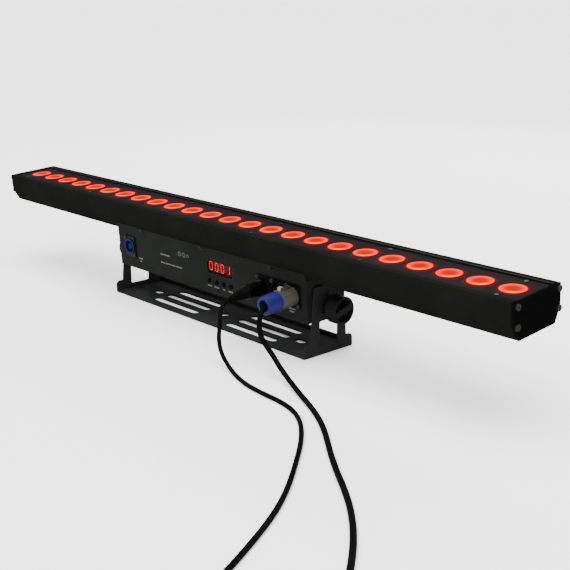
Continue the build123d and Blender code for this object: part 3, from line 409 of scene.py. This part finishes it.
def inlet_plastic():
    """The mains inlet: a blue ring and core in a black flange."""
    blue, black = (0.0036, 0.0062, 0.040), (0.0030, 0.0030, 0.0034)
    shader = Shader("inlet_plastic", black, 0.4, specular=0.03)
    x, y, z = shader.split(shader.head_place())
    centre = (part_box("power_in_socket")[0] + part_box("power_in_socket")[1]) / 2
    across = shader.math("SUBTRACT", x, centre.x * 1000)
    above = shader.math("SUBTRACT", z, SOCKET_HEIGHT)
    radius = shader.math("SQRT", shader.math(
        "ADD", shader.math("MULTIPLY", across, across), shader.math("MULTIPLY", above, above)))
    in_front = shader.math("LESS_THAN", y, FLANGE_FACE - 0.05)
    inside = shader.math("LESS_THAN", radius, INLET_BORE + 0.3)
    mask = shader.math("MAXIMUM", in_front, inside)
    patches = shader.spread(shader.noise(300.0, 4.0), 0.0, 1.0)
    worn = shader.mix(patches, shaded(blue, 0.8), shaded(blue, 1.25))
    shader.colour(shader.mix(mask, black, worn))
    shader.roughness(shader.spread(shader.noise(150.0, 4.0), 0.32, 0.5))
    shader.bump(shader.noise(1300.0, 2.0), 0.08, 0.0003)
    return shader.material


def woven(name, colour):
    """Hook-and-loop tape: a fine weave."""
    shader = Shader(name, colour, 0.85, specular=0.01, sheen=0.01)
    x, y, z = shader.split(shader.place)
    warp = shader.math("SINE", shader.math("MULTIPLY", shader.math("ADD", x, y), 9000.0))
    weft = shader.math("SINE", shader.math("MULTIPLY", shader.math("SUBTRACT", z, y), 9000.0))
    weave = shader.math("MULTIPLY", warp, weft)
    shader.bump(weave, 0.5, 0.0003)
    fluff = shader.spread(shader.noise(500.0), 0.0, 1.0)
    shader.colour(shader.mix(fluff, shaded(colour, 0.7), shaded(colour, 1.4)))
    return shader.material


def board_enamel():
    """Circuit board lacquer over faint tracks."""
    green = (0.012, 0.09, 0.035)
    shader = Shader("board_enamel", green, 0.3, specular=0.5)
    tracks = shader.math("GREATER_THAN", shader.noise(260.0, 0.0, stretch=(1.0, 1.0, 0.15)), 0.56)
    shader.colour(shader.mix(tracks, green, (0.02, 0.16, 0.06)))
    shader.bump(tracks, 0.2, 0.0002)
    return shader.material


def floor_paint():
    """The pale studio floor."""
    shader = Shader("floor_paint", (0.9, 0.9, 0.9), 0.75, specular=0.2)
    shader.colour(shader.mix(shader.noise(3.0, 2.0), (0.885, 0.885, 0.885), (0.91, 0.91, 0.91)))
    return shader.material


def make_materials():
    """Every finish, by the name of the record's slot that it belongs to."""
    black = (0.0086, 0.0093, 0.0086)
    return {
        "black_anodised": coated("black_anodised", (0.0056, 0.0060, 0.0051), 0.42, 1300, 0.06, 0.0),
        "plate_black": lit_plate(),
        "black_sheet": coated("black_sheet", black, 0.46, 700, 0.16),
        "black_screw": coated("black_screw", (0.012, 0.011, 0.008), 0.3, 1500, 0.06, 0.02),
        "bright_screw": coated("bright_screw", (0.020, 0.020, 0.018), 0.3, 1500, 0.06, 0.008),
        "lens_clear": lit_lens(),
        "holder_black": coated("holder_black", (0.005, 0.005, 0.005), 0.6),
        "board_white": coated("board_white", (0.6, 0.6, 0.57), 0.4, 1500, 0.05, 0.4),
        "board_green": board_enamel(),
        "emitter": glowing("emitter", (1.6, 0.02, 0.004), 1.0),
        "gasket": rubber("gasket", (0.005, 0.005, 0.005)),
        "window_clear": clear_pane(),
        "display_black": display_face(),
        "button_black": coated("button_black", (0.002, 0.002, 0.002), 0.38),
        "supply_case": brushed("supply_case", (0.55, 0.55, 0.53), 0.38, (0.05, 1, 1)),
        "wire": rubber("wire", (0.012, 0.003, 0.003), 0.5),
        "socket_black": coated("socket_black", (0.003, 0.003, 0.0032), 0.4),
        "plug_black": coated("plug_black", (0.0012, 0.0011, 0.0010), 0.3, 1400, 0.1, 0.06),
        "boot_black": rubber("boot_black", (0.0025, 0.0025, 0.0025)),
        "plug_grey": coated("plug_grey", (0.036, 0.034, 0.027), 0.42, 1200, 0.1, 0.15),
        "plug_blue": coated("plug_blue", (0.0082, 0.0085, 0.068), 0.36, 1200, 0.1, 0.06),
        "latch_cream": two_tone_latch(),
        "latch_grey": coated("latch_grey", (0.012, 0.012, 0.012), 0.4),
        "cord_black": rubber("cord_black", (0.0018, 0.0019, 0.0017)),
        "tie_black": woven("tie_black", (0.006, 0.006, 0.006)),
        "knob_black": coated("knob_black", (0.0062, 0.0062, 0.0062), 0.4, 900, 0.14, 0.01),
        "stud_steel": brushed("stud_steel", (0.45, 0.45, 0.44), 0.3, (0.1, 1, 1)),
        "washer_black": coated("washer_black", (0.004, 0.004, 0.004), 0.45),
    }


def own_finishes():
    """Finishes of single nodes that differ from the rest of their slot."""
    # The end caps get a darker copy of the housing's anodising: painted shade on the end faces.
    shaded_cap = coated("cap_anodised_painted_shade", (0.0022, 0.0020, 0.0021), 0.42, 1300, 0.06, 0.0)
    return {
        "power_in_socket": inlet_plastic(),
        "housing_extrusion": rail_painted_highlight(),
        "yoke_bracket": coated("yoke_coat", (0.0112, 0.0120, 0.0114), 0.46, 700, 0.16),
        "end_cap_left": shaded_cap,
        "end_cap_right": shaded_cap,
    }


# --- carried-over CAD nodes --------------------------------------------------------------------
# Width of the rounding on the edges that catch the light, mm.
BEVELS = {
    "housing_extrusion": 0.35, "lens_plate": 0.25, "control_box_shell": 0.3, "rear_cover": 0.3,
    "yoke_bracket": 0.5, "power_plug_latch": 0.25, "tilt_knob_left": 0.4, "tilt_knob_right": 0.4,
    "power_plug_body": 0.2,
}
WELD_REACH = 1e-5
SHARP_ANGLE = math.radians(35)


def dress_nodes(finishes):
    """Each node gets the finish of its slot; edges that catch the light are rounded a little."""
    slots = {part["node"]: part["material_slot"] for part in record["subparts"]}
    for name, node in nodes.items():
        node.data.materials.clear()
        node.data.materials.append(finishes[slots[name]])
    for name, finish in own_finishes().items():
        nodes[name].data.materials[0] = finish
    for name, width in BEVELS.items():
        weld = nodes[name].modifiers.new("weld", "WELD")
        weld.merge_threshold = WELD_REACH
        bevel = nodes[name].modifiers.new("bevel", "BEVEL")
        bevel.width = width * MM
        bevel.segments = 2
        bevel.limit_method = "ANGLE"
        bevel.angle_limit = SHARP_ANGLE
        bevel.use_clamp_overlap = True
        flat = nodes[name].modifiers.new("flat faces", "WEIGHTED_NORMAL")
        flat.mode = "FACE_AREA"
        flat.weight = 100


# --- new pieces --------------------------------------------------------------------------------
def add_piece(name, builder, finish, body):
    """A mesh built by a function that fills a bmesh, riding on a body."""
    mesh = bpy.data.meshes.new(name)
    shape = bmesh.new()
    builder(shape)
    bmesh.ops.recalc_face_normals(shape, faces=shape.faces)
    shape.to_mesh(mesh)
    shape.free()
    mesh.materials.append(finish)
    piece = bpy.data.objects.new(name, mesh)
    bpy.context.scene.collection.objects.link(piece)
    if body:
        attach(piece, body)
    return piece


LENS_PROFILE = [
    # Distance from the axis and height over the plate's top, mm, from the centre out.
    (0.0, 0.28), (1.6, 0.30), (3.2, 0.42), (4.4, 0.60), (5.4, 0.66), (6.6, 0.60), (8.2, 0.52),
    (9.8, 0.50), (11.0, 0.58), (11.8, 0.70), (12.8, 0.74), (14.0, 0.70), (15.0, 0.55), (15.6, 0.32),
    (16.0, 0.05), (16.25, -0.5), (16.3, -2.9), (15.4, -3.0), (6.0, -18.6), (3.2, -18.6),
    (3.2, -14.7), (0.0, -14.7),
]
LENS_SIDES = 48


def lens_faces(shape):
    """The 24 lenses: a dimpled centre, a shallow ring and a rolled edge, on a tapered body."""
    for index in range(LENS_COUNT):
        x = (index - (LENS_COUNT - 1) / 2) * LENS_PITCH
        previous = None
        for radius, height in LENS_PROFILE:
            if radius == 0.0:
                ring = [shape.verts.new(in_head(x, 0, height))]
            else:
                angles = [2 * math.pi * side / LENS_SIDES for side in range(LENS_SIDES)]
                places = [(x + radius * math.cos(a), radius * math.sin(a), height) for a in angles]
                ring = [shape.verts.new(in_head(*place)) for place in places]
            if previous:
                bridge(shape, previous, ring)
            previous = ring
    for face in shape.faces:
        face.smooth = True


def bridge(shape, first, second):
    """Faces between two rings of points, either of which may be a single point."""
    count = max(len(first), len(second))
    for side in range(count):
        after = (side + 1) % count
        corners = [first[side % len(first)], first[after % len(first)],
                   second[after % len(second)], second[side % len(second)]]
        shape.faces.new(list(dict.fromkeys(corners)))


def slab(shape, corners, depth):
    """A thin plate: corners in the head's x and z, from y = depth[0] to depth[1]."""
    front = [shape.verts.new(in_head(x, depth[0], z)) for x, z in corners]
    back = [shape.verts.new(in_head(x, depth[1], z)) for x, z in corners]
    shape.faces.new(front)
    shape.faces.new(back[::-1])
    for index in range(len(corners)):
        after = (index + 1) % len(corners)
        shape.faces.new([front[index], back[index], back[after], front[after]])


def segment_ends():
    w, h = DIGIT_WIDTH / 2, DIGIT_HEIGHT / 2
    return {
        "a": ((-w, h), (w, h)), "b": ((w, h), (w, 0)), "c": ((w, 0), (w, -h)), "d": ((w, -h), (-w, -h)),
        "e": ((-w, -h), (-w, 0)), "f": ((-w, 0), (-w, h)), "g": ((-w, 0), (w, 0)),
    }


def digits(shape):
    """Lit seven-segment figures on the display's face: 0001."""
    ends = segment_ends()
    for place, segments in enumerate(SHOWN):
        x0 = DISPLAY_CENTRE[0] + (place - 1.5) * DIGIT_STEP
        for name in segments:
            (xa, za), (xb, zb) = ends[name]
            start, end = Vector((xa, za)), Vector((xb, zb))
            along = (end - start).normalized()
            side = Vector((-along.y, along.x)) * SEGMENT_HALF
            start, end = start + along * 0.35, end - along * 0.35
            outline = [start, start + along * SEGMENT_HALF + side, end - along * SEGMENT_HALF + side,
                       end, end - along * SEGMENT_HALF - side, start + along * SEGMENT_HALF - side]
            corners = [(x0 + p.x + p.y * DIGIT_SHEAR, DISPLAY_CENTRE[1] + p.y) for p in outline]
            slab(shape, corners, DISPLAY_FACE)


PANEL_FACE = -35.2
INK = 0.06
DOT_HOLE = 0.68
# Printed bars on the panel: left end, height, length, thickness, each in mm in the head's frame.
PANEL_BARS = [
    (-98.0, -60.8, 7.0, 2.2), (-90.0, -60.8, 5.0, 2.2), (-84.0, -60.8, 8.0, 2.2),
    (-98.0, -72.9, 10.0, 1.9), (-87.0, -72.9, 13.0, 1.9), (-73.0, -72.9, 9.0, 1.9), (-63.0, -72.9, 14.0, 1.9),
    (166.8, -80.8, 12.4, 2.0), (168.6, -84.6, 8.0, 2.0), (-152.5, -77.6, 9.5, 2.0), (-149.8, -81.6, 4.0, 1.8),
    (6.6, -84.9, 8.8, 1.9), (20.6, -84.9, 10.4, 1.9), (38.6, -84.9, 5.0, 1.9), (50.2, -84.9, 9.0, 1.9),
]
# Printed rings: centre's x and z, and radius.
PANEL_DOTS = [(-52.0, -52.6, 3.4), (-42.5, -52.6, 3.4), (-34.0, -52.6, 2.6)]


def panel_print(shape):
    """Plain printed bars and rings where the panel has its markings."""
    depth = (PANEL_FACE - INK, PANEL_FACE)
    for left, height, length, thick in PANEL_BARS:
        half = thick / 2
        slab(shape, [(left, height - half), (left + length, height - half),
                     (left + length, height + half), (left, height + half)], depth)
    for x, z, radius in PANEL_DOTS:
        angles = [math.pi * step / 12 for step in range(24)]
        for a, b in zip(angles, angles[1:] + angles[:1]):
            inner = radius * DOT_HOLE
            slab(shape, [(x + radius * math.cos(a), z + radius * math.sin(a)),
                         (x + radius * math.cos(b), z + radius * math.sin(b)),
                         (x + inner * math.cos(b), z + inner * math.sin(b)),
                         (x + inner * math.cos(a), z + inner * math.sin(a))], depth)


# --- leads -------------------------------------------------------------------------------------
# The routes repeat the CAD's, in metres, from the plug to the coil.
DMX_ROUTE = [
    (0.1229, -0.09025, 0.069887), (0.1229, -0.09743, 0.068839), (0.125, -0.1059, 0.0652),
    (0.1296, -0.1129, 0.0584), (0.1355, -0.1181, 0.0476), (0.139, -0.1235, 0.0342),
    (0.1444, -0.1266, 0.0218), (0.1542, -0.1288, 0.0115), (0.1679, -0.1321, 0.0052),
    (0.1841, -0.138, 0.0027), (0.2028, -0.1452, 0.0027), (0.2253, -0.1515, 0.0027),
    (0.252, -0.1545, 0.0027), (0.283, -0.1558, 0.0027), (0.311, -0.162, 0.0027),
    (0.336, -0.1755, 0.0027), (0.359, -0.195, 0.0027), (0.381, -0.218, 0.0027),
    (0.402, -0.243, 0.0027), (0.424, -0.27, 0.0027), (0.4465, -0.3, 0.0027),
    (0.467, -0.333, 0.0027), (0.485, -0.369, 0.0027), (0.5016, -0.4054, 0.0027),
    (0.5178, -0.4441, 0.0027), (0.5318, -0.4816, 0.0027),
]
POWER_ROUTE = [
    (0.177, -0.0707, 0.07303), (0.177, -0.0779, 0.07249), (0.1788, -0.0871, 0.0699),
    (0.183, -0.0955, 0.064), (0.1879, -0.1018, 0.0539), (0.1938, -0.1041, 0.0422),
    (0.2026, -0.1026, 0.032), (0.2138, -0.1022, 0.0229), (0.2274, -0.1055, 0.0151),
    (0.2435, -0.1109, 0.0101), (0.2628, -0.1182, 0.0067), (0.2841, -0.1272, 0.0042),
    (0.308, -0.1376, 0.0032), (0.334, -0.151, 0.0032), (0.361, -0.1675, 0.0032),
    (0.388, -0.188, 0.0032), (0.415, -0.21, 0.0032), (0.443, -0.231, 0.0032),
    (0.473, -0.2515, 0.0032), (0.504, -0.275, 0.0032), (0.534, -0.303, 0.0032),
    (0.562, -0.3345, 0.0032), (0.588, -0.369, 0.0032), (0.6117, -0.4049, 0.0032),
]
# Each lead's coil: its centre on the floor, where round it the tail leaves in degrees, and the tail's length.
DMX_LEAD = dict(
    route=DMX_ROUTE, diameter=0.0054, centre=(0.5647, -0.4693), tail=290.0, tail_length=0.022)
POWER_LEAD = dict(
    route=POWER_ROUTE, diameter=0.0064, centre=(0.6414, -0.3853), tail=345.0, tail_length=0.047)
COIL_MID = 0.0324
TAIL_HEIGHT = 0.0096
STEPS_PER_TURN = 16
# Where each turn of a coil lies: column (0 inside, 1 outside) and layer.
TURN_PLACES = [(1, 0), (0, 0), (0, 1), (0, 2), (1, 1)]


def coil_place(turns):
    """Column and layer after a number of turns: each turn shifts to the next place over its last third."""
    index = min(int(turns), len(TURN_PLACES) - 1)
    column, layer = TURN_PLACES[index]
    if index == len(TURN_PLACES) - 1:
        return column, layer
    part = turns - index
    next_column, next_layer = TURN_PLACES[index + 1]
    if index == len(TURN_PLACES) - 2:
        out = min(max((part - 0.36) / 0.14, 0.0), 1.0)
        down = min(max((part - 0.52) / 0.14, 0.0), 1.0)
        return column + (next_column - column) * out, layer + (next_layer - layer) * down
    share = min(max((part - 0.72) / 0.24, 0.0), 1.0)
    return column + (next_column - column) * share, layer + (next_layer - layer) * share


def coil_points(lead):
    """Control points of a coil's turns and of the straight tail into the far plug."""
    diameter, (cx, cy) = lead["diameter"], lead["centre"]
    last = lead["route"][-1]
    start = math.atan2(last[1] - cy, last[0] - cx)
    full = 2 * math.pi
    whole = len(TURN_PLACES) - 1
    sweep = (math.radians(lead["tail"]) - start) % full + whole * full
    count = round(sweep / full * STEPS_PER_TURN)
    step = sweep / count
    points = []
    for index in range(count):
        angle = (index + 0.5) * step
        column, layer = coil_place(angle / full)
        radius = (COIL_MID + (column - 0.5) * diameter) / math.cos(step / 2)
        height = diameter * (layer + 0.5)
        if angle / full > whole:
            height += (TAIL_HEIGHT - height) * (angle / full - whole) / (sweep / full - whole)
        points.append((cx + radius * math.cos(start + angle), cy + radius * math.sin(start + angle), height))
    tail = math.radians(lead["tail"])
    radius = COIL_MID + diameter / 2
    for share in (0.35, 0.7, 1.0):
        along = lead["tail_length"] * share
        points.append((cx + radius * math.cos(tail) - along * math.sin(tail),
                       cy + radius * math.sin(tail) + along * math.cos(tail), TAIL_HEIGHT))
    return points


def smooth_line(name, points):
    """Points read from a NURBS spline that has these as its control points, in metres."""
    curve = bpy.data.curves.new(name, "CURVE")
    curve.dimensions = "3D"
    curve.resolution_u = 5
    spline = curve.splines.new("NURBS")
    spline.points.add(len(points) - 1)
    for target, point in zip(spline.points, points):
        target.co = (*point, 1.0)
    spline.order_u = 3
    spline.use_endpoint_u = True
    holder = bpy.data.objects.new(name, curve)
    mesh = bpy.data.meshes.new_from_object(holder)
    line = [vertex.co.copy() for vertex in mesh.vertices]
    bpy.data.meshes.remove(mesh)
    bpy.data.objects.remove(holder)
    bpy.data.curves.remove(curve)
    return line


TUBE_SIDES = 14


def tube_along(line, radius):
    """A builder of a round tube along a line, with closed ends and no twist."""
    def build(shape):
        tangent = (line[1] - line[0]).normalized()
        normal = tangent.cross(Vector((0, 0, 1))).normalized()
        previous = None
        for index, point in enumerate(line):
            ahead = line[min(index + 1, len(line) - 1)] - line[max(index - 1, 0)]
            turned = tangent.rotation_difference(ahead.normalized())
            normal = turned @ normal
            tangent = ahead.normalized()
            across = tangent.cross(normal)
            angles = [2 * math.pi * side / TUBE_SIDES for side in range(TUBE_SIDES)]
            spokes = [normal * math.cos(a) + across * math.sin(a) for a in angles]
            ring = [shape.verts.new(point + spoke * radius) for spoke in spokes]
            if previous:
                bridge(shape, previous, ring)
            else:
                shape.faces.new(ring[::-1])
            previous = ring
        shape.faces.new(previous)
        for face in shape.faces:
            face.smooth = len(face.verts) == 4
    return build


def make_lead(name, lead, replaced, finish):
    """A free lead from its plug in the box, over the floor, round its coil and into its far plug."""
    line = smooth_line(name, lead["route"][:-1] + coil_points(lead))
    diameter = lead["diameter"]
    piece = add_piece(name, tube_along(line, diameter / 2), finish, None)
    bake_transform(piece)
    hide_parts(*replaced)


def make_leads(finishes):
    near_and_far = [
        ("dmx_lead", DMX_LEAD, ("dmx_cord", "dmx_coil"), "limp",
         ("dmx_plug_boot", "dmx_plug_shell", "dmx_plug_latch", "dmx_far_boot", "dmx_far_plug")),
        ("power_lead", POWER_LEAD, ("power_cord", "power_coil"), "medium",
         ("power_plug_bushing", "power_plug_body", "power_plug_latch",
          "power_far_bushing", "power_far_plug")),
    ]
    for name, lead, replaced, stiffness, plugs in near_and_far:
        make_lead(name, lead, replaced, finishes["cord_black"])


# --- studio ------------------------------------------------------------------------------------
FLOOR_HALF = 90.0
HORIZON = 3.4


def make_floor():
    mesh = bpy.data.meshes.new("floor")
    corners = [(-1, -1), (1, -1), (1, 1), (-1, 1)]
    mesh.from_pydata([(x * FLOOR_HALF, y * FLOOR_HALF, 0) for x, y in corners], [], [(0, 1, 2, 3)])
    mesh.materials.append(floor_paint())
    floor = bpy.data.objects.new("floor", mesh)
    bpy.context.scene.collection.objects.link(floor)


def make_light(name, place, target, size, power, colour=(1.0, 1.0, 1.0)):
    data = bpy.data.lights.new(name, "AREA")
    data.shape = "RECTANGLE"
    data.size, data.size_y = size
    data.energy = power
    data.color = colour
    light = bpy.data.objects.new(name, data)
    bpy.context.scene.collection.objects.link(light)
    light.location = place
    light.rotation_euler = (Vector(target) - Vector(place)).to_track_quat("-Z", "Y").to_euler()


def make_sky():
    """A soft grey dome that is as bright as the floor at the horizon and dimmer overhead."""
    world = bpy.data.worlds.new("studio")
    world.use_nodes = True
    tree = world.node_tree
    place = tree.nodes.new("ShaderNodeTexCoord")
    parts = tree.nodes.new("ShaderNodeSeparateXYZ")
    ramp = tree.nodes.new("ShaderNodeValToRGB")
    tree.links.new(place.outputs["Generated"], parts.inputs[0])
    tree.links.new(parts.outputs["Z"], ramp.inputs["Fac"])
    tree.links.new(ramp.outputs["Color"], tree.nodes["Background"].inputs["Color"])
    stops = [(0.0, 1.0), (0.03, 0.95), (0.14, 0.30), (1.0, 0.45)]
    while len(ramp.color_ramp.elements) < len(stops):
        ramp.color_ramp.elements.new(0.5)
    for element, (position, grey) in zip(ramp.color_ramp.elements, stops):
        element.position = position
        element.color = (grey, grey, grey, 1.0)
    tree.nodes["Background"].inputs["Strength"].default_value = HORIZON
    bpy.context.scene.world = world


def make_sun(name, turn, strength, spread):
    data = bpy.data.lights.new(name, "SUN")
    data.energy = strength
    data.angle = math.radians(spread)
    light = bpy.data.objects.new(name, data)
    bpy.context.scene.collection.objects.link(light)
    light.rotation_euler = [math.radians(value) for value in turn]


def make_studio():
    make_floor()
    make_sky()
    make_sun("overhead", (8, -6, 0), 7.0, 70)
    middle = (0.0, 0.0, 0.1)
    make_light("back", (-0.2, 1.9, 1.1), middle, (2.4, 0.12), 30.0)
    make_light("front", (0.9, -1.6, 1.4), (0.15, 0.0, 0.08), (0.4, 0.1), 14.0)


# --- the whole scene ---------------------------------------------------------------------------
make_camera()
finishes = make_materials()
make_leads(finishes)
dress_nodes(finishes)
lenses = add_piece("lens_faces", lens_faces, finishes["lens_clear"], "head")
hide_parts("lens_optics")
add_piece("display_digits", digits, glowing("digit_red", (2.7, 0.09, 0.05), 1.0), "head")
add_piece("panel_print", panel_print, coated("panel_ink", (0.075, 0.075, 0.07), 0.6), "head")
make_studio()
